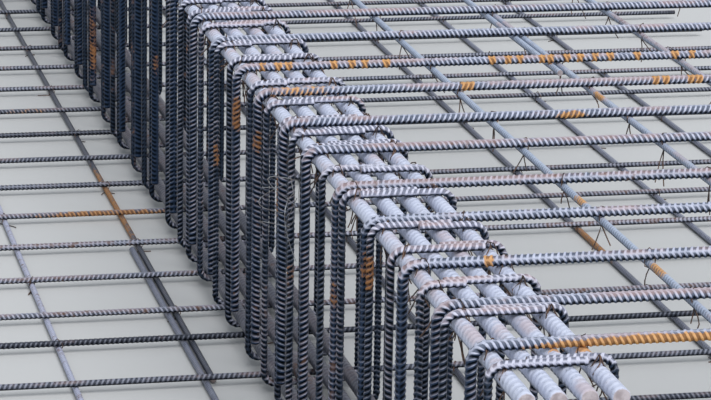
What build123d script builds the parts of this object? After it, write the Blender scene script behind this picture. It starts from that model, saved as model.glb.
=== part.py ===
from build123d import *
from math import cos, radians, sin, tan
import os

# A made-up reinforcement cage for a concrete beam, with the two mats that are tied to it.
# The cage is four top and four bottom bars inside closed links. Hooked bars lie over the
# top bars, turn down the cage's left face and run out to the right as the top mat.
# The lower mat passes under and beside the cage and carries everything on the floor.
#
# Units are millimetres. +Y runs along the cage, away from its near end, +X points right
# and +Z up. The origin is on the floor, in the middle of the whole assembly.
# Places along the cage are stations, measured from its near end.

# Bars. Their rolled ribs are left out, a bar's section is an octagon whose flats are at
# the nominal diameter, and a bend is a few short chords, because there are so many of them.
stock_length = 6000.0
main_diameter = 25.0
link_diameter = 12.0
hook_diameter = 16.0
mat_diameter = 12.0
bend_inner_radius = 16.0
corner_room = 2.5
bar_sides = 8
bend_chords = 3
seat_gap = 0.4
end_cover = 60.0

# Cage
main_count = 4
main_pitch = 42.0
link_outer_height = 528.0
lap_step = 13.0

# Hooked bars of the top mat
bar_spacing = 245.0
hook_reach = 1130.0
hook_foot = 70.0
seen_hooks = [180, 370, 575, 820, 1028, 1270, 1465, 1702, 1910, 2162, 2385]

# Links: station, side of the lap, and the x where the left and the right free end stop,
# both measured from the first main bar
seen_links = [
    (100, 1, 110, 30),
    (335, 1, 118, 30),
    (477, 1, 42, 12),
    (660, 1, 118, 52),
    (795, -1, 100, 47),
    (995, -1, 95, 0),
    (1150, -1, 70, 36),
    (1300, 1, 118, 20),
    (1398, 1, 101, 30),
    (1498, -1, 110, 16),
    (1625, 1, 60, 20),
    (1780, 1, 42, 10),
    (1990, 1, 93, 0),
    (2128, 1, 42, 8),
    (2307, 1, 100, 30),
]
link_pattern = [(60, 1, 100, 36), (165, 1, 60, 20), (325, 1, 93, 10)]

# Long bars of the top mat: reaches are measured to the right of the first main bar
top_mat_first = 345.0
lapped_top_reach = 590.0
top_mat_third = 830.0
top_lap_start = 1849.0
top_lap_end = 2450.0
lap_side_gap = 4.0

# Lower mat
cross_length = 2400.0
cross_left_reach = 620.0
cross_first = 210.0
cross_second_run = 2108.0
cross_end_cover = 20.0
lower_long_pitch = 252.0
lapped_lower_reach = -103.0
lower_lap_start = 1700.0
lower_lap_end = 2590.0

pieces_per_node = 3
cross_bars_per_node = 8

# Places worked out from the sizes
near_end = -stock_length / 2
first_bar_x = -cross_length / 2 + cross_left_reach
main_xs = [first_bar_x + i * main_pitch for i in range(main_count)]

lower_long_z = mat_diameter / 2
cross_z = lower_long_z + mat_diameter + seat_gap
link_bottom_z = lower_long_z + mat_diameter / 2 + seat_gap + link_diameter / 2
link_top_z = link_bottom_z + link_outer_height - link_diameter
bottom_main_z = link_bottom_z + link_diameter / 2 + seat_gap + main_diameter / 2
top_main_z = link_top_z - link_diameter / 2 - seat_gap - main_diameter / 2
hook_z = top_main_z + main_diameter / 2 + seat_gap + hook_diameter / 2
top_mat_z = hook_z - hook_diameter / 2 - seat_gap - mat_diameter / 2

link_bend = bend_inner_radius + link_diameter / 2
hook_bend = bend_inner_radius + hook_diameter / 2
left_leg_x = main_xs[0] - link_bend - corner_room
right_leg_x = main_xs[-1] + link_bend + corner_room
hook_leg_x = main_xs[0] - hook_bend - corner_room

lapped_top_bar_reach = lapped_top_reach - mat_diameter - lap_side_gap
lapped_lower_bar_reach = lapped_lower_reach - mat_diameter - lap_side_gap

os.makedirs("parts", exist_ok=True)


def steps(first, pitch, end):
    """Places from a first one on, a pitch apart, that stay before an end."""
    places = []
    while first < end:
        places.append(first)
        first = first + pitch
    return places


def bar_section(diameter):
    """A bar's octagon, its flats at the nominal diameter, in the sketch that is open."""
    RegularPolygon(diameter / 2, bar_sides, major_radius=False, rotation=180 / bar_sides)


def bent_line(corners, radius):
    """The centre line of a bent bar: each inner corner gives way to chords of its bend.

    The chords touch a circle whose centre is one radius off the arriving run. They share
    the turn evenly with the two runs, so their ends lie half a share round from where
    they touch, and further out than the radius by the cosine of that half share.
    """
    corners = [Vector(*corner) for corner in corners]
    line = [corners[0]]
    for before, corner, after in zip(corners, corners[1:], corners[2:]):
        arrive = (corner - before).normalized()
        leave = (after - corner).normalized()
        turn = radians(arrive.get_angle(leave))
        inwards = (leave - arrive * arrive.dot(leave)).normalized()
        centre = corner - arrive * (radius * tan(turn / 2)) + inwards * radius
        half_share = turn / (bend_chords + 1) / 2
        reach = radius / cos(half_share)
        for n in range(bend_chords + 1):
            angle = half_share * (2 * n + 1)
            line.append(centre + arrive * (reach * sin(angle)) - inwards * (reach * cos(angle)))
    line.append(corners[-1])
    return line


def save(part, name):
    """Label a finished piece, or a group of like pieces, and write it out."""
    part.label = name
    export_step(part, "parts/" + name + ".step")


def groups(items, size):
    """Split a list into runs of a given size, in order."""
    return [items[i:i + size] for i in range(0, len(items), size)]


hook_stations = seen_hooks + steps(seen_hooks[-1] + bar_spacing, bar_spacing, stock_length - end_cover)

links = list(seen_links)
for start in steps(seen_hooks[-1], 2 * bar_spacing, stock_length):
    for offset, side, left_end, right_end in link_pattern:
        if start + offset + lap_step < stock_length - end_cover:
            links.append((start + offset, side, left_end, right_end))

cross_stations = steps(cross_first, bar_spacing, cross_second_run - bar_spacing / 2)
cross_stations += steps(cross_second_run, bar_spacing, stock_length - end_cover)

top_mat_reaches = [top_mat_first, lapped_top_reach]
top_mat_reaches += steps(top_mat_third, bar_spacing, hook_reach - mat_diameter)

cross_right_reach = cross_length - cross_left_reach
under_cage_reach = (main_count - 1) * main_pitch / 2
lower_long_reaches = [-cross_left_reach + cross_end_cover, lapped_lower_reach - lower_long_pitch]
lower_long_reaches += [lapped_lower_reach, under_cage_reach]
lower_long_reaches += steps(top_mat_first, lower_long_pitch, cross_right_reach - cross_end_cover)

# The four top bars lie side by side under the links' top legs
for i, x in enumerate(main_xs):
    with BuildPart() as top_main_bar:
        with BuildSketch(Plane.XZ.offset(-near_end)):
            with Locations((x, top_main_z)):
                bar_section(main_diameter)
        extrude(amount=-stock_length)
    save(top_main_bar.part, "top_main_bar_" + str(i + 1))

# The four bottom bars rest on the links' bottom legs and on the lower mat's cross bars
for i, x in enumerate(main_xs):
    with BuildPart() as bottom_main_bar:
        with BuildSketch(Plane.XZ.offset(-near_end)):
            with Locations((x, bottom_main_z)):
                bar_section(main_diameter)
        extrude(amount=-stock_length)
    save(bottom_main_bar.part, "bottom_main_bar_" + str(i + 1))

# Closed links: one bar bent round the four corners, with its two free ends lying side by
# side over the top bars. The bottom leg slants by the width of the lap.
for i, group in enumerate(groups(links, pieces_per_node)):
    with BuildPart() as link_group:
        for station, side, left_end, right_end in group:
            y = near_end + station
            y_right = y + side * lap_step
            corners = [
                (first_bar_x + left_end, y, link_top_z),
                (left_leg_x, y, link_top_z),
                (left_leg_x, y, link_bottom_z),
                (right_leg_x, y_right, link_bottom_z),
                (right_leg_x, y_right, link_top_z),
                (first_bar_x + right_end, y_right, link_top_z),
            ]
            with BuildLine() as bent_bar:
                Polyline(*bent_line(corners, link_bend))
            with BuildSketch(Plane.YZ.offset(first_bar_x + left_end)):
                with Locations((y, link_top_z)):
                    bar_section(link_diameter)
            sweep(path=bent_bar.wires()[0], transition=Transition.RIGHT)
    save(link_group.part, "links_" + str(i + 1).zfill(2))

# Hooked bars: one right-angle bend over the first main bar, a leg down the left face and
# a straight run to the right
for i, group in enumerate(groups(hook_stations, pieces_per_node)):
    with BuildPart() as hook_group:
        for station in group:
            y = near_end + station
            corners = [
                (hook_leg_x, y, hook_foot),
                (hook_leg_x, y, hook_z),
                (first_bar_x + hook_reach, y, hook_z),
            ]
            with BuildLine() as hooked_bar:
                Polyline(*bent_line(corners, hook_bend))
            with BuildSketch(Plane.XY.offset(hook_foot)):
                with Locations((hook_leg_x, y)):
                    bar_section(hook_diameter)
            sweep(path=hooked_bar.wires()[0], transition=Transition.RIGHT)
    save(hook_group.part, "hooked_bars_" + str(i + 1).zfill(2))

# Long bars of the top mat hang in their ties under the hooked bars. The second one is
# made of two lengths that lap side by side.
for i, reach in enumerate(top_mat_reaches):
    length = top_lap_end if reach == lapped_top_reach else stock_length
    with BuildPart() as top_mat_bar:
        with BuildSketch(Plane.XZ.offset(-near_end)):
            with Locations((first_bar_x + reach, top_mat_z)):
                bar_section(mat_diameter)
        extrude(amount=-length)
    save(top_mat_bar.part, "top_mat_bar_" + str(i + 1))

with BuildPart() as top_mat_lapped_bar:
    with BuildSketch(Plane.XZ.offset(-near_end - top_lap_start)):
        with Locations((first_bar_x + lapped_top_bar_reach, top_mat_z)):
            bar_section(mat_diameter)
    extrude(amount=-(stock_length - top_lap_start))
save(top_mat_lapped_bar.part, "top_mat_lapped_bar")

# Long bars of the lower mat lie on the floor. One of them is lapped too.
with BuildPart() as lower_long_bars:
    for reach in lower_long_reaches:
        start = lower_lap_start if reach == lapped_lower_reach else 0.0
        with BuildSketch(Plane.XZ.offset(-near_end - start)):
            with Locations((first_bar_x + reach, lower_long_z)):
                bar_section(mat_diameter)
        extrude(amount=-(stock_length - start))
save(lower_long_bars.part, "lower_long_bars")

with BuildPart() as lower_lapped_bar:
    with BuildSketch(Plane.XZ.offset(-near_end)):
        with Locations((first_bar_x + lapped_lower_bar_reach, lower_long_z)):
            bar_section(mat_diameter)
    extrude(amount=-lower_lap_end)
save(lower_lapped_bar.part, "lower_lapped_bar")

# Cross bars of the lower mat lie on its long bars, between the links' bottom legs
for i, group in enumerate(groups(cross_stations, cross_bars_per_node)):
    with BuildPart() as cross_bars:
        with BuildSketch(Plane.YZ.offset(-cross_length / 2)):
            with Locations(*[(near_end + station, cross_z) for station in group]):
                bar_section(mat_diameter)
        extrude(amount=cross_length)
    save(cross_bars.part, "lower_cross_bars_" + str(i + 1))
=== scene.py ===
# %% [markdown]
# A reinforcement cage is nothing but bars, so the whole look comes from the bars' surface.
# The solids give every bar its place and its plain thickness. Here each one is made again
# as a ribbed bar, with the rust and mill scale of steel that has lain outdoors for a while.

# %% Load the frame
import math

import bpy
import numpy as np
from mathutils import Matrix, Vector


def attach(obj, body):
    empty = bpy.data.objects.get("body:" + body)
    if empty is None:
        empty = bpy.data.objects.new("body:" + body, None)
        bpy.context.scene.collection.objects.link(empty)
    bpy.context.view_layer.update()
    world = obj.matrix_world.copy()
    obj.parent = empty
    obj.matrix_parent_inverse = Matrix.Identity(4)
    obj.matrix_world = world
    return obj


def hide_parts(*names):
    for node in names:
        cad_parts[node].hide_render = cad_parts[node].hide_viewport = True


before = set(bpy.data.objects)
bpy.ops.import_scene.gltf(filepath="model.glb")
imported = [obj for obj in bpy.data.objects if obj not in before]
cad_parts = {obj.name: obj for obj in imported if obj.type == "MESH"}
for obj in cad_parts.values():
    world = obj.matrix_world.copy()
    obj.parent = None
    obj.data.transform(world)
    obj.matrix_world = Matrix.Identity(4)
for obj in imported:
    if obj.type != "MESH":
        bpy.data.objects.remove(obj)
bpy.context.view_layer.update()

# %% [markdown]
# All places come from the same few sizes as the solids: bar diameters, the spacing of the
# main bars, and stations, which are distances along the cage from its near end. They are in
# metres here, because that is Blender's unit.

# %% Sizes of the bars
STOCK = 6.0
MAIN, LINK, HOOK, MAT = 0.025, 0.012, 0.016, 0.012
MAIN_COUNT, MAIN_PITCH = 4, 0.042
LINK_OUTER = 0.528
BEND_INNER, CORNER_ROOM, SEAT = 0.016, 0.0025, 0.0004
LAP_STEP, LAP_GAP = 0.013, 0.004
SPACING = 0.245
HOOK_REACH, HOOK_FOOT = 1.13, 0.070
CROSS_LENGTH, CROSS_LEFT = 2.4, 0.62
END_COVER = 0.06

NEAR = -STOCK / 2
BAR_1 = -CROSS_LENGTH / 2 + CROSS_LEFT
BAR_4 = BAR_1 + (MAIN_COUNT - 1) * MAIN_PITCH
LINK_LOW = MAT + SEAT + LINK / 2
LINK_HIGH = LINK_LOW + LINK_OUTER - LINK
LOW_MAIN = LINK_LOW + LINK / 2 + SEAT + MAIN / 2
HIGH_MAIN = LINK_HIGH - LINK / 2 - SEAT - MAIN / 2
HOOK_HIGH = HIGH_MAIN + MAIN / 2 + SEAT + HOOK / 2
MAT_HIGH = HOOK_HIGH - HOOK / 2 - SEAT - MAT / 2
LINK_BEND = BEND_INNER + LINK / 2
HOOK_BEND = BEND_INNER + HOOK / 2
LEG_LEFT = BAR_1 - LINK_BEND - CORNER_ROOM
LEG_RIGHT = BAR_4 + LINK_BEND + CORNER_ROOM
HOOK_LEG = BAR_1 - HOOK_BEND - CORNER_ROOM
print("main bars' tops at", round(HIGH_MAIN + MAIN / 2, 4), "m, bar 1 at x", round(BAR_1, 4))

# %% [markdown]
# Stations are whole millimetres, as they would be marked on the long bars with chalk. The
# first ones follow the photograph. Further off, where single bars can't be told apart, a
# loop carries the spacing on to the end of the stock.

# %% Stations along the cage, in millimetres from its near end
MM = 1000
PITCH, LAST = SPACING * MM, (STOCK - END_COVER) * MM
CROSS_FIRST, CROSS_SECOND_RUN = 210, 2108
HOOKS_SEEN = [180, 370, 575, 820, 1028, 1270, 1465, 1702, 1910, 2162, 2385]
# A link is its station, the side of its lap, and how far right of main bar 1 its left and
# its right free end stop
LINKS_SEEN = [
    (100, 1, 110, 30), (335, 1, 118, 30), (477, 1, 42, 12), (660, 1, 118, 52),
    (795, -1, 100, 47), (995, -1, 95, 0), (1150, -1, 70, 36), (1300, 1, 118, 20),
    (1398, 1, 101, 30), (1498, -1, 110, 16), (1625, 1, 60, 20), (1780, 1, 42, 10),
    (1990, 1, 93, 0), (2128, 1, 42, 8), (2307, 1, 100, 30),
]
LINK_PATTERN = [(60, 1, 100, 36), (165, 1, 60, 20), (325, 1, 93, 10)]


def stations(first, end, pitch=PITCH):
    """Places from first on, one pitch apart, that stay before end."""
    return list(np.arange(first, end, pitch))


HOOKS = HOOKS_SEEN + stations(HOOKS_SEEN[-1] + PITCH, LAST)
LINKS = list(LINKS_SEEN)
for start in stations(HOOKS_SEEN[-1], STOCK * MM, 2 * PITCH):
    for offset, side, left, right in LINK_PATTERN:
        if start + offset + LAP_STEP * MM < LAST:
            LINKS.append((start + offset, side, left, right))
CROSS = stations(CROSS_FIRST, CROSS_SECOND_RUN - PITCH / 2) + stations(CROSS_SECOND_RUN, LAST)
print(len(HOOKS), "hooked bars,", len(LINKS), "links,", len(CROSS), "cross bars")

# %% [markdown]
# A bent bar's centre line is straight runs joined by arcs. One way is a Blender curve with
# a bevel, but then the ribs would have to be modelled on top. Working out the line as a
# function of distance lets every point of the surface ask where it is along the bar, so a
# rib can lean over a bend just as a rolled one does.

# %% The centre line of a bar
class CentreLine:
    """Straight runs and arcs, in order, that answer with places and directions.

    On a straight run, place = start + t * direction. On an arc of radius r it is
    start + r * sin(t / r) * direction + r * (1 - cos(t / r)) * inwards.
    """

    def __init__(self, corners, radius=0.0):
        corners = [Vector(c) for c in corners]
        rows = []
        here, begun = corners[0], 0.0
        for k, corner in enumerate(corners[1:], 1):
            arrive = (corner - here).normalized()
            last = k == len(corners) - 1
            turn = 0.0
            if not last:
                leave = (corners[k + 1] - corner).normalized()
                turn = arrive.angle(leave)
            run = (corner - here).length - radius * math.tan(turn / 2)
            rows.append((begun, 0.0, *here, *arrive, 0.0, 0.0, 0.0))
            begun += run
            if not last:
                inwards = (leave - arrive * arrive.dot(leave)).normalized()
                rows.append((begun, radius, *(here + arrive * run), *arrive, *inwards))
                begun += radius * turn
                here = corner + leave * radius * math.tan(turn / 2)
        self.rows = np.array(rows)
        self.length = begun

    def at(self, s):
        """Places and directions at distances s, an array of any shape."""
        row = self.rows[np.clip(np.searchsorted(self.rows[:, 0], s, "right") - 1, 0, None)]
        t, radius = s - row[..., 0], row[..., 1]
        bent = radius > 0
        safe = np.where(bent, radius, 1.0)
        ahead = np.where(bent, safe * np.sin(t / safe), t)
        aside = np.where(bent, safe * (1 - np.cos(t / safe)), 0.0)
        start, direction, inwards = row[..., 2:5], row[..., 5:8], row[..., 8:11]
        place = start + ahead[..., None] * direction + aside[..., None] * inwards
        turn = np.where(bent, t / safe, 0.0)[..., None]
        return place, direction * np.cos(turn) + inwards * np.sin(turn)


test_bend = CentreLine([(0, 0, 0), (0, 0, 1), (1, 0, 1)], 0.1)
print("two runs of 1 m with a bend of 0.1 m between them make", round(test_bend.length, 3), "m")

# %% [markdown]
# Rolled bars carry two rows of ribs that run slantwise from one seam of the bar to the
# other, so the rows meet as a herringbone at the seams. A displacement texture would need
# millions of faces to show them. Instead the rings of the tube are laid on the ribs
# themselves: four rings make one rib where the camera is close, and two further off. Each
# ring slants with its rib, so the edges of the mesh run along the flanks, and eight to
# twelve points round the bar are enough.

# %% Rings that follow the ribs
# Each ring of a rib is how far through one pitch it stands and its height from 0 to 1
RIB_FINE = ((0.0, 0.0), (0.16, 1.0), (0.42, 1.0), (0.60, 0.0))
RIB_COARSE = ((0.0, 0.0), (0.5, 1.0))
PLAIN_STEP, PLAIN_HEIGHT, PLAIN_SHIFT = 0.12, 0.4, 0.0005
RIB_PITCH, MAIN_RIB_PITCH = 0.0092, 0.0150


def ring_plan(spans, pitch):
    """Distances, rib heights from 0 to 1 and whether ribs are there, for each ring.

    A span is (start, end, rib), where rib is one of the patterns above or None for a
    plain stretch. A pattern's rings stand at start + (n + share) * pitch.
    """
    rings = []
    for start, end, rib in spans:
        if rib is None:
            steps = max(2, int((end - start) / PLAIN_STEP) + 1)
            distance = np.linspace(start, end, steps)[:-1] + PLAIN_SHIFT
            height, meshed = np.full(len(distance), PLAIN_HEIGHT), np.zeros(len(distance))
        else:
            count = max(1, int((end - start) / pitch))
            pitch_here = (end - start) / count
            shares, heights = np.array(rib).T
            distance = (start + (np.arange(count)[:, None] + shares) * pitch_here).ravel()
            height, meshed = np.tile(heights, count), np.ones(len(distance))
        rings.append((distance, height, meshed))
    return [np.concatenate(values) for values in zip(*rings)]


print("a metre of fine ribs has", len(ring_plan([(0, 1, RIB_FINE)], RIB_PITCH)[0]), "rings")

# %% [markdown]
# A bar is a tube: a ring of points at each distance, four-sided faces from ring to ring, and
# a flat cap at each sawn end. Next to every point a few values are kept that the finish
# asks for later: how high the rib is there, where in the pitch it stands, whether the bar
# lies or stands, whether the ribs are modelled, and whether this is a cut end.

# %% One ribbed bar
ROOT_DEPTH, RIB_LEAN, SEAM_CREST = 0.35, 0.7, 0.7
END_BEVEL, BEVEL_HEIGHT, END_TRIM = 0.06, 0.3, 0.1


def ribbed_bar(line, diameter, spans, sides, roll, reference, pitch=RIB_PITCH, rib=0.08, seam=0.04):
    """Points, faces and surface values of one bar.

    A point's radius is core + rib * height * sqrt(|sin a|), where a is its angle round the
    bar from a seam, plus a low ridge on the two seams. Its place along the bar is the
    ring's distance plus lean * |a - half turn| / half turn, which slants the ribs one way
    on one side of the bar and the other way on the other side. Towards the two ends the
    lean fades to nothing, so the cuts are square. Rib and seam are shares of the diameter,
    and the roots of the ribs lie a little inside it.
    """
    core = (0.5 - ROOT_DEPTH * rib) * diameter
    bevel = END_BEVEL * diameter
    distance, height, meshed = ring_plan(spans, pitch)
    keep = (distance > 2 * bevel) & (distance < line.length - 2 * bevel)
    distance = np.concatenate([[0.0, bevel], distance[keep], [line.length - bevel, line.length]])
    height = np.concatenate([[0.0, BEVEL_HEIGHT], height[keep], [BEVEL_HEIGHT, 0.0]])
    meshed = np.concatenate([[1.0, 1.0], meshed[keep], [1.0, 1.0]])
    cut = np.zeros(len(distance))
    cut[[0, -1]] = 1.0
    trim = 1 - END_TRIM * cut
    angle = np.arange(sides) * 2 * math.pi / sides
    crescent = np.sqrt(np.abs(np.sin(angle)))
    ridge = np.abs(np.cos(angle)) > 0.999
    slant = np.abs(angle / math.pi - 1)
    lean = RIB_LEAN * diameter
    room = np.clip(np.minimum(distance, line.length - distance) / (3 * lean), 0, 1)
    shifted = distance[:, None] + (room * lean)[:, None] * slant
    place, direction = line.at(shifted)
    across = np.array(reference) - direction * (direction @ np.array(reference))[..., None]
    across /= np.linalg.norm(across, axis=-1, keepdims=True)
    outwards = np.cross(across, direction)
    radius = trim[:, None] * (core + diameter * (rib * height[:, None] * crescent + seam * ridge))
    around = (angle + roll)[None, :, None]
    points = place + radius[..., None] * (np.cos(around) * outwards + np.sin(around) * across)
    grid = np.arange(len(distance) * sides).reshape(-1, sides)
    after = np.roll(grid, -1, axis=1)
    quads = np.stack([grid[:-1], after[:-1], after[1:], grid[1:]], axis=-1).reshape(-1, 4)
    caps = [grid[0][::-1], grid[-1]]
    values = {
        "crest": np.maximum(height[:, None] * crescent, SEAM_CREST * ridge).ravel(),
        "phase": np.repeat(distance / pitch, sides),
        "lying": (1 - np.abs(direction[..., 2])).ravel(),
        "meshed": np.repeat(meshed, sides),
        "cut": np.repeat(cut, sides),
    }
    return points.reshape(-1, 3), quads, caps, values


bar_made = ribbed_bar(test_bend, MAIN, [(0, test_bend.length, RIB_FINE)], 12, 0.0, (0, 1, 0))
print("dressed, it has", len(bar_made[0]), "points and", len(bar_made[1]), "faces")


# %% [markdown]
# Rust starts where the mill scale has been knocked off, so it comes in spots. Each spot is
# an ellipsoid of space, and every point of a bar inside it takes rust from it. A painted
# mask would need an unwrapped surface. Spots in space need none, and they can be placed by
# reading the photograph.

# %% Rust seen on single bars: middle, reach to each side and strength
# LEG is the x of the hooked bars' legs, and TOP the height of the hooked bars' upper side
LEG, LEG_STRENGTH = -0.606, 0.72
TOP = 0.540
RUST_SPOTS = [
    ((LEG, 0.86, 0.18), (0.03, 0.03, 0.13), 1.0), ((LEG, 0.22, 0.31), (0.03, 0.03, 0.10), 1.0),
    ((LEG, 1.15, 0.15), (0.03, 0.03, 0.07), 0.7), ((LEG, -0.14, 0.34), (0.03, 0.02, 0.04), 0.8),
    ((LEG, -0.54, 0.46), (0.02, 0.03, 0.03), 0.9), ((LEG, -0.74, 0.39), (0.02, 0.03, 0.04), 1.0),
    ((LEG, -0.89, 0.32), (0.02, 0.03, 0.05), 1.0), ((LEG, -1.10, 0.45), (0.02, 0.03, 0.05), 1.0),
    ((LEG, -1.31, 0.45), (0.02, 0.03, 0.04), 0.9), ((LEG, -1.50, 0.40), (0.02, 0.03, 0.06), 0.9),
    ((LEG, -1.59, 0.29), (0.02, 0.03, 0.03), 0.9), ((LEG, -1.98, 0.36), (0.02, 0.04, 0.03), 0.8),
    ((LEG, -2.20, 0.46), (0.02, 0.03, 0.05), 1.0), ((LEG, -2.40, 0.50), (0.02, 0.03, 0.04), 1.0),
    ((LEG, -1.82, 0.35), (0.02, 0.03, 0.02), 0.9),
    ((-0.36, -2.829, 0.532), (0.21, 0.02, 0.014), 1.6),
    ((-0.12, -2.829, 0.532), (0.34, 0.02, 0.014), 1.6),
    ((-0.53, -1.30, TOP), (0.09, 0.02, 0.02), 0.62),
    ((-0.097, -1.542, 0.536), (0.035, 0.012, 0.010), 1.1),
    ((0.01, -1.26, 0.525), (0.02, 0.03, 0.01), 0.8), ((0.0, -1.36, 0.525), (0.02, 0.05, 0.01), 0.9),
    ((-0.235, -2.47, 0.525), (0.02, 0.05, 0.01), 0.9),
    ((-0.235, -2.07, 0.525), (0.02, 0.04, 0.01), 0.8),
    ((0.26, -0.50, 0.01), (0.03, 0.20, 0.02), 0.9), ((-0.683, -0.05, 0.006), (0.02, 0.50, 0.01), 1.0),
    ((-0.72, -0.16, 0.018), (0.20, 0.02, 0.01), 0.9), ((-0.78, 0.82, 0.018), (0.07, 0.02, 0.01), 0.5),
]
# Dots on the tops of three hooked bars: the bar's y, then each dot's x
SMALL_SPOTS = {
    -2.425: [-0.481], -1.298: [-0.229, -0.217, 0.131, 0.150, 0.198, 0.213],
    -1.090: [-0.559, -0.530, -0.510, -0.425, -0.391, -0.366, -0.325, -0.123, -0.092, -0.069, -0.026,
             -0.009, 0.022, 0.048, 0.077, 0.108, 0.160, 0.235, 0.269],
}
DOT_REACH, DOT_STRENGTH = (0.011, 0.02, 0.02), 1.15
RUST_SPOTS += [((x, y, TOP), DOT_REACH, DOT_STRENGTH) for y, xs in SMALL_SPOTS.items() for x in xs]


def rust_at(points):
    """The rust at each point, from whichever spot gives most there.

    A spot gives strength * 2 * (1 - distance / reach), held between 0 and its strength, so
    it is full up to half its reach and fades out from there. Spots on the legs give less.
    """
    rust = np.zeros(len(points))
    for place, reach, strength in RUST_SPOTS:
        away = np.linalg.norm((points - np.array(place)) / np.array(reach), axis=1)
        if place[0] == LEG:
            strength = LEG_STRENGTH * strength
        rust = np.maximum(rust, strength * np.clip(2 * (1 - away), 0, 1))
    return rust


print(len(RUST_SPOTS), "rust spots")

# %% [markdown]
# Several bars of one kind share an object, as they share a node of the solids. Making a
# mesh face by face in Python would take minutes. The arrays are joined end to end instead
# and handed to Blender in one go. Two more values are kept on every point: a tone that
# differs from bar to bar, and how much rust is there.

# %% Join bars into one object
made = {}


def join_bars(name, bars, tones, material):
    """One mesh from the points and faces of several bars, with smooth sides and flat ends."""
    points = np.concatenate([bar[0] for bar in bars])
    first = np.cumsum([0] + [len(bar[0]) for bar in bars])
    quads = np.concatenate([bar[1] + start for bar, start in zip(bars, first)])
    caps = [cap + start for bar, start in zip(bars, first) for cap in bar[2]]
    corners = np.concatenate([quads.ravel()] + caps)
    sizes = np.concatenate([np.full(len(quads), 4)] + [[len(cap)] for cap in caps])
    mesh = bpy.data.meshes.new(name)
    mesh.vertices.add(len(points))
    mesh.vertices.foreach_set("co", points.astype(np.float32).ravel())
    mesh.loops.add(len(corners))
    mesh.loops.foreach_set("vertex_index", corners.astype(np.int32))
    mesh.polygons.add(len(sizes))
    starts = np.concatenate([[0], np.cumsum(sizes)[:-1]])
    mesh.polygons.foreach_set("loop_start", starts.astype(np.int32))
    mesh.polygons.foreach_set("use_smooth", sizes == 4)
    mesh.update(calc_edges=True)
    values = {key: np.concatenate([bar[3][key] for bar in bars]) for key in bars[0][3]}
    values["tone"] = np.concatenate([np.full(len(bar[0]), tone) for bar, tone in zip(bars, tones)])
    values["rust"] = rust_at(points)
    for key, value in values.items():
        mesh.attributes.new(key, "FLOAT", "POINT").data.foreach_set("value", value.astype(np.float32))
    mesh.materials.append(material)
    piece = bpy.data.objects.new(name, mesh)
    bpy.context.collection.objects.link(piece)
    made[name] = int((sizes - 2).sum())
    return piece


# %% [markdown]
# Shader maths reads best as ordinary sums. The small class below wraps a socket of the node
# tree, and each operator on it adds one Math node, so a mask can be written as a formula.

# %% Shader maths as Python
class Value:
    """A number that varies over the surface: +, - and * add Math nodes."""

    def __init__(self, tree, socket):
        self.tree, self.socket = tree, socket

    def math(self, operation, other=0.0, swap=False, clamp=False):
        """One Math node on this value and another, swapped or clamped to 0 to 1 if asked."""
        first, second = (other, self) if swap else (self, other)
        node = self.tree.node("ShaderNodeMath", {"operation": operation, "use_clamp": clamp},
                              {0: first, 1: second})
        return Value(self.tree, node.outputs[0])

    def __add__(self, other):
        return self.math("ADD", other)

    def __sub__(self, other):
        return self.math("SUBTRACT", other)

    def __rsub__(self, other):
        return self.math("SUBTRACT", other, swap=True)

    def __mul__(self, other):
        return self.math("MULTIPLY", other)

    __radd__, __rmul__ = __add__, __mul__

    def between(self, low, high):
        """0 below low, 1 above high, and a smooth step between."""
        node = self.tree.node("ShaderNodeMapRange", {"interpolation_type": "SMOOTHSTEP"},
                              {0: self, 1: low, 2: high})
        return Value(self.tree, node.outputs[0])

    def most(self, other):
        """The greater of two values."""
        return self.math("MAXIMUM", other)

    def clamped(self):
        """The value itself, held between 0 and 1."""
        return self.math("ADD", 0.0, clamp=True)


class Finish:
    """A material's node tree, with one method for its nodes and a few for values."""

    def __init__(self, name):
        self.material = bpy.data.materials.new(name)
        self.material.use_nodes = True
        self.nodes = self.material.node_tree.nodes
        self.links = self.material.node_tree.links
        self.shader = self.nodes["Principled BSDF"]

    def node(self, kind, settings=None, inputs=None):
        """A node of a kind: its settings first, then the values or links of its sockets."""
        node = self.nodes.new(kind)
        for key, value in (settings or {}).items():
            setattr(node, key, value)
        for key, value in (inputs or {}).items():
            self.feed(node.inputs[key], value)
        return node

    def feed(self, socket, value):
        """A link for a value or a socket, and a plain setting for anything else."""
        if isinstance(value, Value):
            self.links.new(value.socket, socket)
        elif isinstance(value, bpy.types.NodeSocket):
            self.links.new(value, socket)
        else:
            socket.default_value = value

    def stored(self, key):
        """A value kept on the surface's points."""
        return Value(self, self.node("ShaderNodeAttribute", {"attribute_name": key}).outputs["Fac"])

    def noise(self, scale, detail=3.0, roughness=0.55):
        """Cloudy noise over the object's own coordinates, from about 0.25 to 0.75."""
        place = self.node("ShaderNodeTexCoord").outputs["Object"]
        node = self.node("ShaderNodeTexNoise", {}, {"Vector": place, "Scale": scale,
                                                    "Detail": detail, "Roughness": roughness})
        return Value(self, node.outputs["Fac"])

    def mix(self, share, low, high):
        """A colour between two colours, each a tuple or a socket."""
        low, high = ((*c, 1) if isinstance(c, tuple) else c for c in (low, high))
        node = self.node("ShaderNodeMix", {"data_type": "RGBA"}, {0: share, 6: low, 7: high})
        return node.outputs[2]

    def upwards(self):
        """How far the surface faces up: 1 on top, 0 on a side, -1 below."""
        normal = self.node("ShaderNodeNewGeometry").outputs["Normal"]
        return Value(self, self.node("ShaderNodeSeparateXYZ", {}, {0: normal}).outputs[2])
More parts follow.
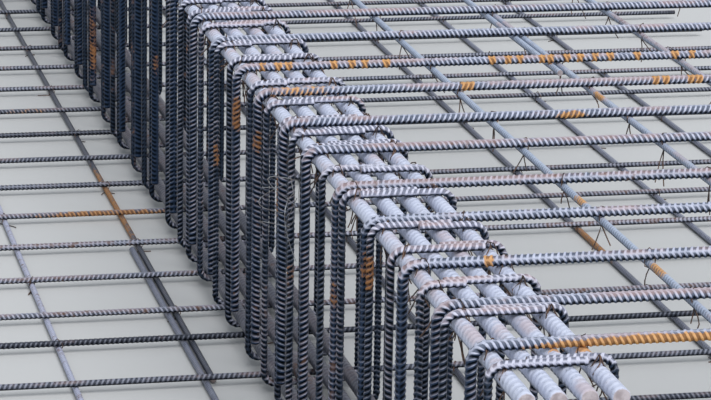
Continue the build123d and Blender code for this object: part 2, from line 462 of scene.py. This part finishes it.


# %% [markdown]
# Hot rolled steel leaves the mill with a blue-grey scale. Outdoors the scale dulls, a pale
# film of dust settles on what faces the sky, the hollows between the ribs stay dark, and
# where the scale has flaked off the bar turns bright orange. Light is painted in as well:
# the pale film on what faces up and on lying bars is partly painted sky light, the bright
# crests are partly painted highlights, and the dark hollows are partly painted shade. The
# finish is layered in that order: hollow, rubbed crest with painted highlight, sky film of
# dust and painted sky light, pink blush, thin rust, rust patches, cut ends. One function
# makes it for every kind of bar, because they differ only in colours and amounts.

# %% Colours that all bars share
BLUSH = (0.52, 0.33, 0.29)
BROWN = (0.13, 0.06, 0.028)
RUST_ROOT = (0.14, 0.055, 0.022)
# Rust on standing bars is a darker orange than on lying ones: that darkening is painted shade
SHADED_RUST_ON_LEGS = (0.36, 0.16, 0.055)
# RUST_LOWER, the duller rust of the lower mat, is partly painted shade
RUST_BRIGHT, RUST_LOWER = (0.74, 0.38, 0.12), (0.48, 0.24, 0.09)
CUT_PALE, CUT_DARK = (0.50, 0.42, 0.41), (0.26, 0.19, 0.17)
RELIEF = 0.0006
print("bright rust is", RUST_BRIGHT, "on a lying bar and", SHADED_RUST_ON_LEGS, "on a standing one")
print("the relief of the finish is", RELIEF * MM, "mm deep")


# %% The finish of a rolled bar
def rolled_steel(name, hollow, crest_colour, dust_and_sky_light_hollow, dust_and_sky_light_crest, low=0.0, thin_rust=0.0,
                 fade=0.0, blush=0.45, orange=RUST_BRIGHT):
    """Mill scale, sky film and rust as masks laid over each other.

    The relief mask is the rib height with noise added, lifted by low where the ribs are
    shallow. Where the ribs aren't modelled, a sine wave of the same pitch stands for them.
    Between the hollow and crest colours it paints shade into the hollows and highlights onto
    the crests. The film's share is a smooth step of how far the surface faces up. It reaches
    further down the sides of a lying bar than of a standing one, and is worn thin in small
    spots. The film is dust, and in part painted sky light on what faces up and on lying bars.
    Fade is how much thinner the film is on a bar whose tone is low, blush how strong the
    pink is, and orange the brightest rust.
    """
    f = Finish(name)
    crest, tone, spot, cut = f.stored("crest"), f.stored("tone"), f.stored("rust"), f.stored("cut")
    lying = f.stored("lying")
    broad, fine, grit = f.noise(9.0), f.noise(75.0, 4.0), f.noise(420.0, 2.0)
    worn = f.noise(170.0, 4.0, 0.7).between(0.50, 0.70)
    flat = 1 - f.stored("meshed")
    wave = (f.stored("phase") * (2 * math.pi)).math("SINE")
    raised = crest + flat * wave * 0.45
    high = (raised * (1 - low) + low + (fine - 0.5) * 0.7).between(0.12, 0.95)
    up = f.upwards()
    # Dark hollows and bright crests are partly dirt and wear, and partly painted shade in the hollows
    # and painted highlights on the crests
    scale = f.mix(high, hollow, crest_colour)
    dust_and_sky_light = f.mix(high, dust_and_sky_light_hollow, dust_and_sky_light_crest)
    # The film is dust and painted sky light: it is paler where the surface faces up, and reaches
    # further down the sides of lying bars
    tilted = up + 0.58 * lying + (fine - 0.5) * 0.4 + (broad - 0.5) * 0.3 + 0.08 * tone
    dust_and_sky_light_share = tilted.between(0.05, 0.62) * (1 - fade + fade * tone) * (1 - 0.45 * worn)
    dusted_and_sky_lit = f.mix(dust_and_sky_light_share, scale, dust_and_sky_light)
    pink = (broad + 0.25 * tone + 0.3 * (fine - 0.5)).between(0.58, 0.78) * up.between(0.0, 0.8) * blush
    blushed = f.mix(pink, dusted_and_sky_lit, BLUSH)
    thin = (fine + 0.3 * tone + 0.3 * broad).between(0.98 - thin_rust, 1.2 - thin_rust) * 0.75
    browned = f.mix(thin, blushed, BROWN)
    patchy = spot * 1.1 + (fine - 0.5) * 1.5 + (grit - 0.5) * 0.9 + (high - 0.6) * 0.35
    patch = patchy.between(0.45, 0.95)
    # Standing bars take the darker rust, which is painted shade
    bright = f.mix(lying, SHADED_RUST_ON_LEGS, orange)
    flaked = f.mix(high * 0.7 + grit * 0.5, RUST_ROOT, bright)
    rusted = f.mix(patch * 0.9, browned, flaked)
    sawn = f.mix(fine.between(0.35, 0.65), CUT_PALE, CUT_DARK)
    f.feed(f.shader.inputs["Base Color"], f.mix(cut * 0.8, rusted, sawn))
    rust = patch.most(thin)
    f.feed(f.shader.inputs["Roughness"], (0.42 + 0.4 * rust + 0.2 * fine - 0.12 * high).clamped())
    bare = 0.95 - 0.5 * high - rust.most(dust_and_sky_light_share * 0.9).most(cut)
    f.feed(f.shader.inputs["Metallic"], bare.clamped())
    f.shader.inputs["Specular IOR Level"].default_value = 0.27
    height = flat * wave * 0.9 + fine * 0.4 + grit * (0.3 + 0.5 * patch)
    bump = f.node("ShaderNodeBump", {}, {"Strength": 0.5, "Distance": RELIEF, "Height": height})
    f.feed(f.shader.inputs["Normal"], bump.outputs["Normal"])
    return f.material


# %% The steels: colours of hollow, crest, hollow under film and crest under film, the film being dust and painted sky light
MAIN_STEEL = rolled_steel("mill_scale_on_top_main_bars", (0.10, 0.12, 0.17), (0.22, 0.25, 0.33),
                          (0.50, 0.54, 0.69), (0.70, 0.74, 0.90), low=0.5)
# The bottom main bars take a darker copy of the finish, which is painted shade as well as dirt
SHADED_STEEL = rolled_steel("mill_scale_dirt_and_painted_shade_on_bottom_main_bars", (0.015, 0.02, 0.03), (0.04, 0.05, 0.07),
                            (0.08, 0.085, 0.11), (0.13, 0.135, 0.17), low=0.55, blush=0.08)
LINK_STEEL = rolled_steel("mill_scale_on_links", (0.005, 0.008, 0.012), (0.031, 0.048, 0.083),
                          (0.19, 0.20, 0.27), (0.64, 0.645, 0.77), thin_rust=0.02)
HOOK_STEEL = rolled_steel("mill_scale_on_hooked_bars", (0.005, 0.009, 0.015), (0.031, 0.056, 0.112),
                          (0.10, 0.12, 0.175), (0.56, 0.59, 0.73))
MAT_STEEL = rolled_steel("mill_scale_on_top_mat", (0.05, 0.06, 0.09), (0.13, 0.17, 0.24),
                         (0.26, 0.31, 0.42), (0.47, 0.54, 0.68), low=0.3)
# The lower mat's two finishes are darkened half way towards its look in the cage's shade: partly
# painted shade
LONG_STEEL = rolled_steel("mill_scale_and_painted_shade_on_lower_long_bars", (0.012, 0.015, 0.022), (0.035, 0.042, 0.06),
                          (0.33, 0.355, 0.47), (0.50, 0.53, 0.68), low=0.4, thin_rust=0.02, fade=0.9,
                          blush=0.05, orange=RUST_LOWER)
LOW_STEEL = rolled_steel("mill_scale_and_painted_shade_on_cross_bars", (0.008, 0.010, 0.015), (0.028, 0.035, 0.05),
                         (0.07, 0.08, 0.11), (0.38, 0.40, 0.50), thin_rust=0.03, fade=0.88,
                         blush=0.2, orange=RUST_LOWER)
for steel in (MAIN_STEEL, SHADED_STEEL, LINK_STEEL, HOOK_STEEL, MAT_STEEL, LONG_STEEL, LOW_STEEL):
    print(steel.name, "has", len(steel.node_tree.nodes), "nodes")

# %% [markdown]
# Each bar is rolled on its own, so its seam lies at any angle, and its tone differs a little
# from its neighbours'. A seeded generator gives both, so every run makes the same cage.
# Close to the camera the rings of a bar are fine, and beyond a certain distance coarse.

# %% Chance, and two helpers that group bars and dress a node
chance = np.random.default_rng(20)
CLOSE_END = 2.75
BARS_PER_NODE, CROSS_PER_NODE = 3, 8


def groups(items, size=BARS_PER_NODE):
    """Runs of a given size, in order, as the solids are grouped in their nodes."""
    return [items[i:i + size] for i in range(0, len(items), size)]


def dress(name, nodes, bars, material, tones=None):
    """Joins bars into a piece that stands for its nodes and rides on the cage's one body.

    Each bar's tone is the one that is given, or else one drawn from 0 to 1. Both ways draw
    the same count of numbers, so a given tone changes no other bar.
    """
    drawn = chance.uniform(0, 1, len(bars))
    piece = join_bars(name, bars, drawn if tones is None else tones, material)
    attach(piece, "root")
    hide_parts(*nodes)
    return piece


print(len(groups(LINKS)), "pieces of links and", len(groups(HOOKS)), "of hooked bars are to come")

# %% [markdown]
# Four thick bars lie side by side at the top of the cage and four at its bottom. They are
# straight, and their ribs are shallow and further apart than on thin bars. The bottom ones
# are hardly seen, so their ribs are left to the relief of the finish.

# %% Main bars
MAIN_RIB, MAIN_SEAM = 0.024, 0.02
for i in range(MAIN_COUNT):
    x = BAR_1 + i * MAIN_PITCH
    for level, z in (("top", HIGH_MAIN), ("bottom", LOW_MAIN)):
        line = CentreLine([(x, NEAR, z), (x, -NEAR, z)])
        spans = [(0, STOCK, None)]
        if level == "top":
            spans = [(0, CLOSE_END, RIB_FINE), (CLOSE_END, STOCK, RIB_COARSE)]
        bar = ribbed_bar(line, MAIN, spans, 12, chance.uniform(0.3, 2.8), (1, 0, 0),
                         MAIN_RIB_PITCH, MAIN_RIB, MAIN_SEAM)
        node = level + "_main_bar_" + str(i + 1)
        # The bottom main bars are drawn darker: painted shade as well as dirt
        steel = MAIN_STEEL if level == "top" else SHADED_STEEL
        dress("ribbed_" + node, [node], [bar], steel)
print("main bars:", sum(made.values()), "triangles")

# %% [markdown]
# A link is one thin bar, bent round four corners so that it closes round the main bars. Its
# two free ends lie side by side on top, so its bottom run slants by the width of the lap.
# A ring with a doubled side would be simpler, but the lap is what the eye catches on top.

# %% Links
def link_line(station, side, left, right):
    """The link's centre line, from its left free end round to its right one."""
    y = NEAR + station / MM
    y_right = y + side * LAP_STEP
    return CentreLine([
        (BAR_1 + left / MM, y, LINK_HIGH), (LEG_LEFT, y, LINK_HIGH), (LEG_LEFT, y, LINK_LOW),
        (LEG_RIGHT, y_right, LINK_LOW), (LEG_RIGHT, y_right, LINK_HIGH),
        (BAR_1 + right / MM, y_right, LINK_HIGH),
    ], LINK_BEND)


for i, group in enumerate(groups(LINKS)):
    bars = []
    for link in group:
        line = link_line(*link)
        rib = RIB_FINE if link[0] < CLOSE_END * MM else RIB_COARSE
        roll = chance.uniform(0, 2 * math.pi)
        bars.append(ribbed_bar(line, LINK, [(0, line.length, rib)], 8, roll, (0, 1, 0)))
    node = "links_" + str(i + 1).zfill(2)
    dress("ribbed_" + node, [node], bars, LINK_STEEL)
print("with links:", sum(made.values()), "triangles")

# %% [markdown]
# A hooked bar lies over the cage, turns down its left face and runs out to the right as
# part of the top mat. How its ribs look from above depends on where its seam lies. So the
# eleven near ones are turned as they lie in the photograph, and the others by chance.

# %% Hooked bars
SEAM_TURNS = [20, 15, 62, 45, 66, 5, 190, 205, 30, 20, 0]
for i, group in enumerate(groups(HOOKS)):
    bars = []
    for k, station in enumerate(group):
        y = NEAR + station / MM
        line = CentreLine([(HOOK_LEG, y, HOOK_FOOT), (HOOK_LEG, y, HOOK_HIGH),
                           (BAR_1 + HOOK_REACH, y, HOOK_HIGH)], HOOK_BEND)
        rib, sides = (RIB_FINE, 10) if station < CLOSE_END * MM else (RIB_COARSE, 8)
        number = BARS_PER_NODE * i + k
        turn = SEAM_TURNS[number] if number < len(SEAM_TURNS) else chance.uniform(0, 360)
        roll = math.radians(turn)
        bars.append(ribbed_bar(line, HOOK, [(0, line.length, rib)], sides, roll, (0, 1, 0)))
    node = "hooked_bars_" + str(i + 1).zfill(2)
    dress("ribbed_" + node, [node], bars, HOOK_STEEL)
print("with hooked bars:", sum(made.values()), "triangles")

# %% [markdown]
# The mats' long bars look almost smooth from above, because a seam lies on top of them. So
# their turn is near zero and their seams stand a little prouder. One bar of each mat is
# made of two lengths that lie side by side where they lap.

# %% Long bars of the top mat
MAT_RIB, MAT_SEAM = 0.035, 0.05
FIRST, LAPPED, THIRD = 0.345, 0.590, 0.830
TOP_LAP_START, TOP_LAP_END, TOP_RIBBED = 1.849, 2.45, 0.9


def mat_bar(line, spans, turn):
    """A thin bar along the cage with a low rib and a seam near its top."""
    return ribbed_bar(line, MAT, spans, 8, turn, (1, 0, 0), rib=MAT_RIB, seam=MAT_SEAM)


top_reaches = [FIRST, LAPPED] + list(np.arange(THIRD, HOOK_REACH - MAT, SPACING))
for i, reach in enumerate(top_reaches):
    x = BAR_1 + reach
    end = TOP_LAP_END if reach == LAPPED else STOCK
    line = CentreLine([(x, NEAR, MAT_HIGH), (x, NEAR + end, MAT_HIGH)])
    close = min(end, CLOSE_END)
    spans = [(0, close, RIB_FINE)] + ([(close, end, None)] if end > close else [])
    node = "top_mat_bar_" + str(i + 1)
    bar = mat_bar(line, spans, chance.uniform(-0.35, 0.2))
    dress("ribbed_" + node, [node], [bar], MAT_STEEL)
x = BAR_1 + LAPPED - MAT - LAP_GAP
line = CentreLine([(x, NEAR + TOP_LAP_START, MAT_HIGH), (x, -NEAR, MAT_HIGH)])
bar = mat_bar(line, [(0, TOP_RIBBED, RIB_FINE), (TOP_RIBBED, line.length, None)], 0.1)
dress("ribbed_top_mat_lapped_bar", ["top_mat_lapped_bar"], [bar], MAT_STEEL)
print("with the top mat:", sum(made.values()), "triangles")

# %% [markdown]
# The lower mat lies on the floor, and its cross bars lie over its long ones. Some of its
# bars are pale and others nearly black, and the whole mat is drawn darker, partly as painted
# shade of the cage above it. So the tones of the bars in view are given one by one, and the
# rest are drawn. Ribs are modelled only where they can be seen.

# %% Long bars of the lower mat
LAPPED_LOW, LOWER_PITCH, CROSS_COVER = -0.103, 0.252, 0.02
LOWER_LAP_START, LOWER_LAP_END, LOWER_PLAIN = 1.7, 2.59, 1.6
LONG_TONES, LAPPED_TONES = [0.5, 1.0, 0.05, 0.1, 0.1, 0.4, 0.3, 0.5, 0.4, 0.5], [0.35]
lower_reaches = [-CROSS_LEFT + CROSS_COVER, LAPPED_LOW - LOWER_PITCH, LAPPED_LOW]
lower_reaches += [(MAIN_COUNT - 1) / 2 * MAIN_PITCH]
lower_reaches += list(np.arange(FIRST, CROSS_LENGTH - CROSS_LEFT - CROSS_COVER, LOWER_PITCH))
bars = []
for reach in lower_reaches:
    start = LOWER_LAP_START if reach == LAPPED_LOW else 0.0
    line = CentreLine([(BAR_1 + reach, NEAR + start, MAT / 2), (BAR_1 + reach, -NEAR, MAT / 2)])
    bars.append(mat_bar(line, [(0, line.length, None)], chance.uniform(-0.3, 0.3)))
dress("ribbed_lower_long_bars", ["lower_long_bars"], bars, LONG_STEEL, LONG_TONES)
x = BAR_1 + LAPPED_LOW - MAT - LAP_GAP
line = CentreLine([(x, NEAR, MAT / 2), (x, NEAR + LOWER_LAP_END, MAT / 2)])
bar = mat_bar(line, [(0, LOWER_PLAIN, None), (LOWER_PLAIN, LOWER_LAP_END, RIB_FINE)], 0.2)
dress("ribbed_lower_lapped_bar", ["lower_lapped_bar"], [bar], LONG_STEEL, LAPPED_TONES)
print("with the lower long bars:", sum(made.values()), "triangles")

# %% Cross bars of the lower mat
# The second group is the one in view
SEEN_CROSS_TONES = {1: [1.0, 0.9, 1.0, 0.8, 0.5, 0.5, 0.1, 0.5]}
SEEN_NEAR, SEEN_FAR = 1.8, 4
CROSS_TURNS = [10, 60, 190]
z = MAT + SEAT + MAT / 2
for i, group in enumerate(groups(CROSS, CROSS_PER_NODE)):
    bars = []
    for station in group:
        y = NEAR + station / MM
        line = CentreLine([(-CROSS_LENGTH / 2, y, z), (CROSS_LENGTH / 2, y, z)])
        rib = RIB_FINE if SEEN_NEAR < station / MM < SEEN_FAR else None
        spans = [(0, CROSS_LEFT, rib), (CROSS_LEFT, CROSS_LENGTH, None)]
        roll = math.radians(chance.choice(CROSS_TURNS))
        bars.append(ribbed_bar(line, MAT, spans, 8, roll, (0, 1, 0)))
    node = "lower_cross_bars_" + str(i + 1)
    dress("ribbed_" + node, [node], bars, LOW_STEEL, SEEN_CROSS_TONES.get(i))
print("with the lower mat:", sum(made.values()), "triangles")

# %% [markdown]
# Soft black wire holds the bars together. Every tie is a loop drawn slantwise round two
# crossing bars, and its two ends hang down from it in a V. A curve with a bevel for each
# would be hundreds of objects. All ties of a row are made at once instead, as arrays with
# one row for each tie.

# %% Wires
SIDES = 3


def tubes(paths, thickness):
    """Three-sided tubes along many paths at once; paths has the shape (wires, points, 3).

    A tube's points are the path's plus half the thickness times cos(a) * side + sin(a) *
    other, where side and other are square to the path and to each other.
    """
    along = np.gradient(paths, axis=1)
    along /= np.linalg.norm(along, axis=2, keepdims=True)
    side = np.cross(along, np.array([0.31, 0.23, 0.92]))
    side /= np.linalg.norm(side, axis=2, keepdims=True)
    other = np.cross(along, side)
    angle = (np.arange(SIDES) * 2 * math.pi / SIDES)[:, None]
    ring = np.cos(angle) * side[:, :, None, :] + np.sin(angle) * other[:, :, None, :]
    points = (paths[:, :, None, :] + thickness / 2 * ring).reshape(-1, 3)
    wires, steps = paths.shape[:2]
    grid = np.arange(wires * steps * SIDES).reshape(wires, steps, SIDES)
    after = np.roll(grid, -1, axis=2)
    quads = np.stack([grid[:, :-1], after[:, :-1], after[:, 1:], grid[:, 1:]], axis=-1).reshape(-1, 4)
    caps = np.concatenate([grid[:, 0, ::-1], grid[:, -1]])
    return points, quads, caps


def add_wires(name, parts, material):
    """One object from several sets of tubes."""
    mesh = bpy.data.meshes.new(name)
    first = np.cumsum([0] + [len(part[0]) for part in parts])
    faces = [list(quad) for part, start in zip(parts, first) for quad in part[1] + start]
    faces += [list(cap) for part, start in zip(parts, first) for cap in part[2] + start]
    mesh.from_pydata(np.concatenate([part[0] for part in parts]), [], faces)
    mesh.materials.append(material)
    piece = bpy.data.objects.new(name, mesh)
    bpy.context.collection.objects.link(piece)
    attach(piece, "root")
    made[name] = sum(len(face) - 2 for face in faces)
    return piece


def wire_finish(name, one, other):
    """A dull metal that wanders between two colours."""
    f = Finish(name)
    fine = f.noise(60.0)
    f.feed(f.shader.inputs["Base Color"], f.mix(fine.between(0.35, 0.65), one, other))
    f.feed(f.shader.inputs["Roughness"], (0.45 + 0.3 * fine).clamped())
    f.shader.inputs["Metallic"].default_value = 0.4
    return f.material


# A three-sided tube looks thinner than a round wire, so it is drawn thicker
WIRE = 0.0016
LOOP_WIRE, END_WIRE, LOOSE_WIRE = 1.4 * WIRE, 1.5 * WIRE, 0.0013
WIRE_FINISH = wire_finish("annealed_wire", (0.04, 0.032, 0.032), (0.17, 0.10, 0.07))
print("tie wire is", WIRE * MM, "mm thick")


# %% The paths of the ties
LOOP_POINTS, LOOP_TILT, LOOP_WIDTH = 10, 0.004, 0.6
END_POINTS, SHORTEST_END, LONGEST_END = 4, 0.018, 0.050
FORWARDS, DOWN = -0.35, -0.8


def tie_paths(places, upper, lower):
    """Loops round the crossings of an upper and a lower bar, and the loops' free ends.

    A loop's points are middle + wide * cos(t) * slant + tall * sin(t) * up; the slant lies
    at 45 degrees to both bars, and wide follows the bar that the loop is passing. Its two
    ends start at its lowest point and go down and forwards, to opposite sides, each bent
    by a curl that grows with the square of the share of its length.
    """
    count = len(places)
    slant = np.where(chance.uniform(0, 1, count) < 0.5, 1.0, -1.0)[:, None] * [1, 0, 0] + [0, 1, 0]
    slant /= np.linalg.norm(slant, axis=1, keepdims=True)
    middle = places + [0, 0, (upper - lower) / 2]
    tall = (upper + lower) / 2 + WIRE * 0.5
    t = np.linspace(-0.5 * math.pi, 1.5 * math.pi, LOOP_POINTS)[None, :, None]
    tilt = chance.uniform(-LOOP_TILT, LOOP_TILT, (count, 1, 3)) * np.sin(2 * t)
    wide = LOOP_WIDTH * np.where(np.sin(t) > 0, upper, lower) + WIRE * 0.5
    loops = middle[:, None] + wide * np.cos(t) * slant[:, None] + [0, 0, tall] * np.sin(t) + tilt
    spread = chance.uniform(0.15, 0.5, count) * np.where(chance.uniform(0, 1, count) < 0.5, 1, -1)
    share = np.linspace(0, 1, END_POINTS)[None, :, None]
    ends = []
    for turn in (1, -1):
        away = np.stack([turn * spread, np.full(count, FORWARDS), np.full(count, DOWN)], axis=1)
        away += chance.normal(0, 0.3, (count, 3))
        away /= np.linalg.norm(away, axis=1, keepdims=True)
        length = chance.uniform(SHORTEST_END, LONGEST_END, (count, 1, 1))
        curl = chance.normal(0, 0.007, (count, 1, 3)) * share ** 2
        ends.append(loops[:, :1] + length * share * away[:, None] + curl)
    return loops, np.concatenate(ends)


# %% [markdown]
# Hooked bars are tied to the outer main bars and to the top mat, links to the outer main
# bars, and the lower mat at every second crossing. On the main bars two wires share each
# crossing, because that is where the cage is held together.

# %% Where the bars cross
def crossings(x, places, z):
    """Points at one x and one height, for an array of places along the cage."""
    return np.stack([np.full(len(places), x), places, np.full(len(places), z)], axis=1)


hook_y = NEAR + np.array(HOOKS) / MM
link_y = NEAR + np.array([link[0] for link in LINKS]) / MM
cross_y = NEAR + np.array(CROSS) / MM
LOWER_TIES_START = 1.75

under_hook, under_link = HOOK_HIGH - HOOK / 2, LINK_HIGH - LINK / 2
hooks_on_main = [(crossings(x, hook_y, under_hook), HOOK, MAIN) for x in (BAR_1, BAR_4)]
links_on_main = [(crossings(x, link_y, under_link), LINK, MAIN) for x in (BAR_1, BAR_4)]
hooks_on_mat = []
for reach in top_reaches:
    y = hook_y[hook_y < NEAR + (TOP_LAP_END if reach == LAPPED else STOCK)]
    hooks_on_mat.append((crossings(BAR_1 + reach, y, under_hook), HOOK, MAT))
cross_on_long = []
for i, reach in enumerate(lower_reaches):
    y = cross_y[i % 2::2]
    y = y[y > NEAR + (LOWER_TIES_START if reach == LAPPED_LOW else 0)]
    cross_on_long.append((crossings(BAR_1 + reach, y, MAT), MAT, MAT))
rows = hooks_on_main + hooks_on_mat + links_on_main + cross_on_long
print(sum(len(row[0]) for row in rows), "crossings are tied, in", len(rows), "rows")

# %% Ties at the crossings
parts = []
for meet, upper, lower in rows + hooks_on_main + links_on_main:
    loops, ends = tie_paths(meet, upper, lower)
    for paths in (loops, ends):
        paths[..., 2] = np.clip(paths[..., 2], WIRE / 2, HOOK_HIGH + HOOK)
    parts += [tubes(loops, LOOP_WIRE), tubes(ends, END_WIRE)]
add_wires("tie_wires", parts, WIRE_FINISH)
print("tie wires:", made["tie_wires"], "triangles")

# %% [markdown]
# A few loose ends of thin wire hang between the legs on the near side. They are drawn as
# arcs: straight lines from one point to another that bow in the middle, by
# bow * 4 * share * (1 - share) at a share of the way.

# %% Loose wires by the legs
LOOSE, LOOSE_PLACE = 8, [-0.615, -1.68, 0.455]
begin = np.array(LOOSE_PLACE) + chance.normal(0, 1, (LOOSE, 3)) * [0.006, 0.07, 0.025]
finish = begin + chance.normal(0, 1, (LOOSE, 3)) * [0.015, 0.07, 0.04] + [-0.012, 0.02, -0.06]
bow = chance.normal(0, 0.018, (LOOSE, 1, 3)) + [-0.012, 0, 0]
share = np.linspace(0, 1, 9)[None, :, None]
arcs = begin[:, None] * (1 - share) + finish[:, None] * share + bow * 4 * share * (1 - share)
arcs[..., 2] = np.minimum(arcs[..., 2], HOOK_HIGH)
BRIGHT_WIRE = wire_finish("bright_wire", (0.30, 0.32, 0.35), (0.16, 0.14, 0.13))
add_wires("loose_wires", [tubes(arcs, LOOSE_WIRE)], BRIGHT_WIRE)
print("loose wires:", made["loose_wires"], "triangles")

# %% [markdown]
# The floor is plain and pale, and lies just under the lowest bars, so that the two don't
# share a height.

# %% Floor
floor_finish = Finish("pale_floor")
floor_finish.shader.inputs["Base Color"].default_value = (0.58, 0.58, 0.58, 1)
floor_finish.shader.inputs["Roughness"].default_value = 0.85
floor_mesh = bpy.data.meshes.new("floor")
wide, drop = 120.0, -0.0015
corners = [(-wide, -wide, drop), (wide, -wide, drop), (wide, wide, drop), (-wide, wide, drop)]
floor_mesh.from_pydata(corners, [], [(0, 1, 2, 3)])
floor_mesh.materials.append(floor_finish.material)
floor = bpy.data.objects.new("floor", floor_mesh)
bpy.context.collection.objects.link(floor)
print("the floor lies", -drop * MM, "mm below the solids' floor")

# %% [markdown]
# The light is soft, as under an open sky. It comes from half way between overhead and the
# front, so the tops of the bars are bright and the faces that are turned down stay dark. A
# very wide sun gives soft shadows without a picture of a sky. Seen straight or in a
# reflection the sky is a pale even grey, and what it sheds on the bars is bluer and weaker.

# %% Light
sun_data = bpy.data.lights.new("sky_light", "SUN")
sun_data.energy, sun_data.angle = 2.8, math.radians(50)
sun = bpy.data.objects.new("sky_light", sun_data)
sun.rotation_euler = Vector((0.08, -0.88, 1.0)).to_track_quat("Z", "Y").to_euler()
bpy.context.collection.objects.link(sun)

world = bpy.data.worlds.new("soft_sky")
world.use_nodes = True
tree = world.node_tree
glow = tree.nodes["Background"]
glow.inputs["Color"].default_value = (0.80, 0.90, 1.0, 1)
glow.inputs["Strength"].default_value = 0.42
plain = tree.nodes.new("ShaderNodeBackground")
plain.inputs["Color"].default_value = (0.78, 0.79, 0.80, 1)
plain.inputs["Strength"].default_value = 0.9
rays = tree.nodes.new("ShaderNodeLightPath")
seen = rays.outputs["Is Camera Ray"]
for other in ("Is Glossy Ray", "Is Transmission Ray"):
    either = tree.nodes.new("ShaderNodeMath")
    either.operation = "MAXIMUM"
    tree.links.new(seen, either.inputs[0])
    tree.links.new(rays.outputs[other], either.inputs[1])
    seen = either.outputs[0]
blend = tree.nodes.new("ShaderNodeMixShader")
tree.links.new(seen, blend.inputs[0])
tree.links.new(glow.outputs[0], blend.inputs[1])
tree.links.new(plain.outputs[0], blend.inputs[2])
tree.links.new(blend.outputs[0], tree.nodes["World Output"].inputs["Surface"])
bpy.context.scene.world = world
print("lit by", sun_data.energy, "from the sun and a sky of", glow.inputs["Strength"].default_value)

# %% [markdown]
# The camera stands 3.7 m before the cage's near end, at eye height, and looks along it
# through a long lens. Its place and its turns were found by laying the cage's straight
# lines over those in the photograph. A lens in millimetres is the focal length in pixels
# times the width of the sensor, divided by the picture's width in pixels.

# %% Camera
CAMERA_PLACE = (-1.630, -6.659, 1.775)
CAMERA_TURN, CAMERA_DROP, CAMERA_ROLL = math.radians(12.67), math.radians(14.71), math.radians(1.04)
FOCAL_PIXELS, IMAGE_WIDTH = 3150.0, 711.0
ahead = Vector((math.sin(CAMERA_TURN) * math.cos(CAMERA_DROP),
                math.cos(CAMERA_TURN) * math.cos(CAMERA_DROP), -math.sin(CAMERA_DROP)))
level = Vector((math.cos(CAMERA_TURN), -math.sin(CAMERA_TURN), 0))
above = level.cross(ahead)
right = level * math.cos(CAMERA_ROLL) + above * math.sin(CAMERA_ROLL)
above = above * math.cos(CAMERA_ROLL) - level * math.sin(CAMERA_ROLL)
camera_data = bpy.data.cameras.new("camera")
camera_data.sensor_width = 36.0
camera_data.lens = FOCAL_PIXELS / IMAGE_WIDTH * camera_data.sensor_width
camera_data.clip_start, camera_data.clip_end = 0.1, 500
camera = bpy.data.objects.new("camera", camera_data)
turn = Matrix((right, above, -ahead)).transposed()
camera.matrix_world = Matrix.Translation(CAMERA_PLACE) @ turn.to_4x4()
bpy.context.collection.objects.link(camera)
bpy.context.scene.camera = camera
bpy.context.scene.view_settings.view_transform = "Standard"
print("lens", round(camera_data.lens, 1), "mm")

# %% [markdown]
# Last, the triangles of the dressed pieces are counted.

# %% Measure and finish
print("largest piece", max(made.values()), "triangles, all pieces", sum(made.values()))
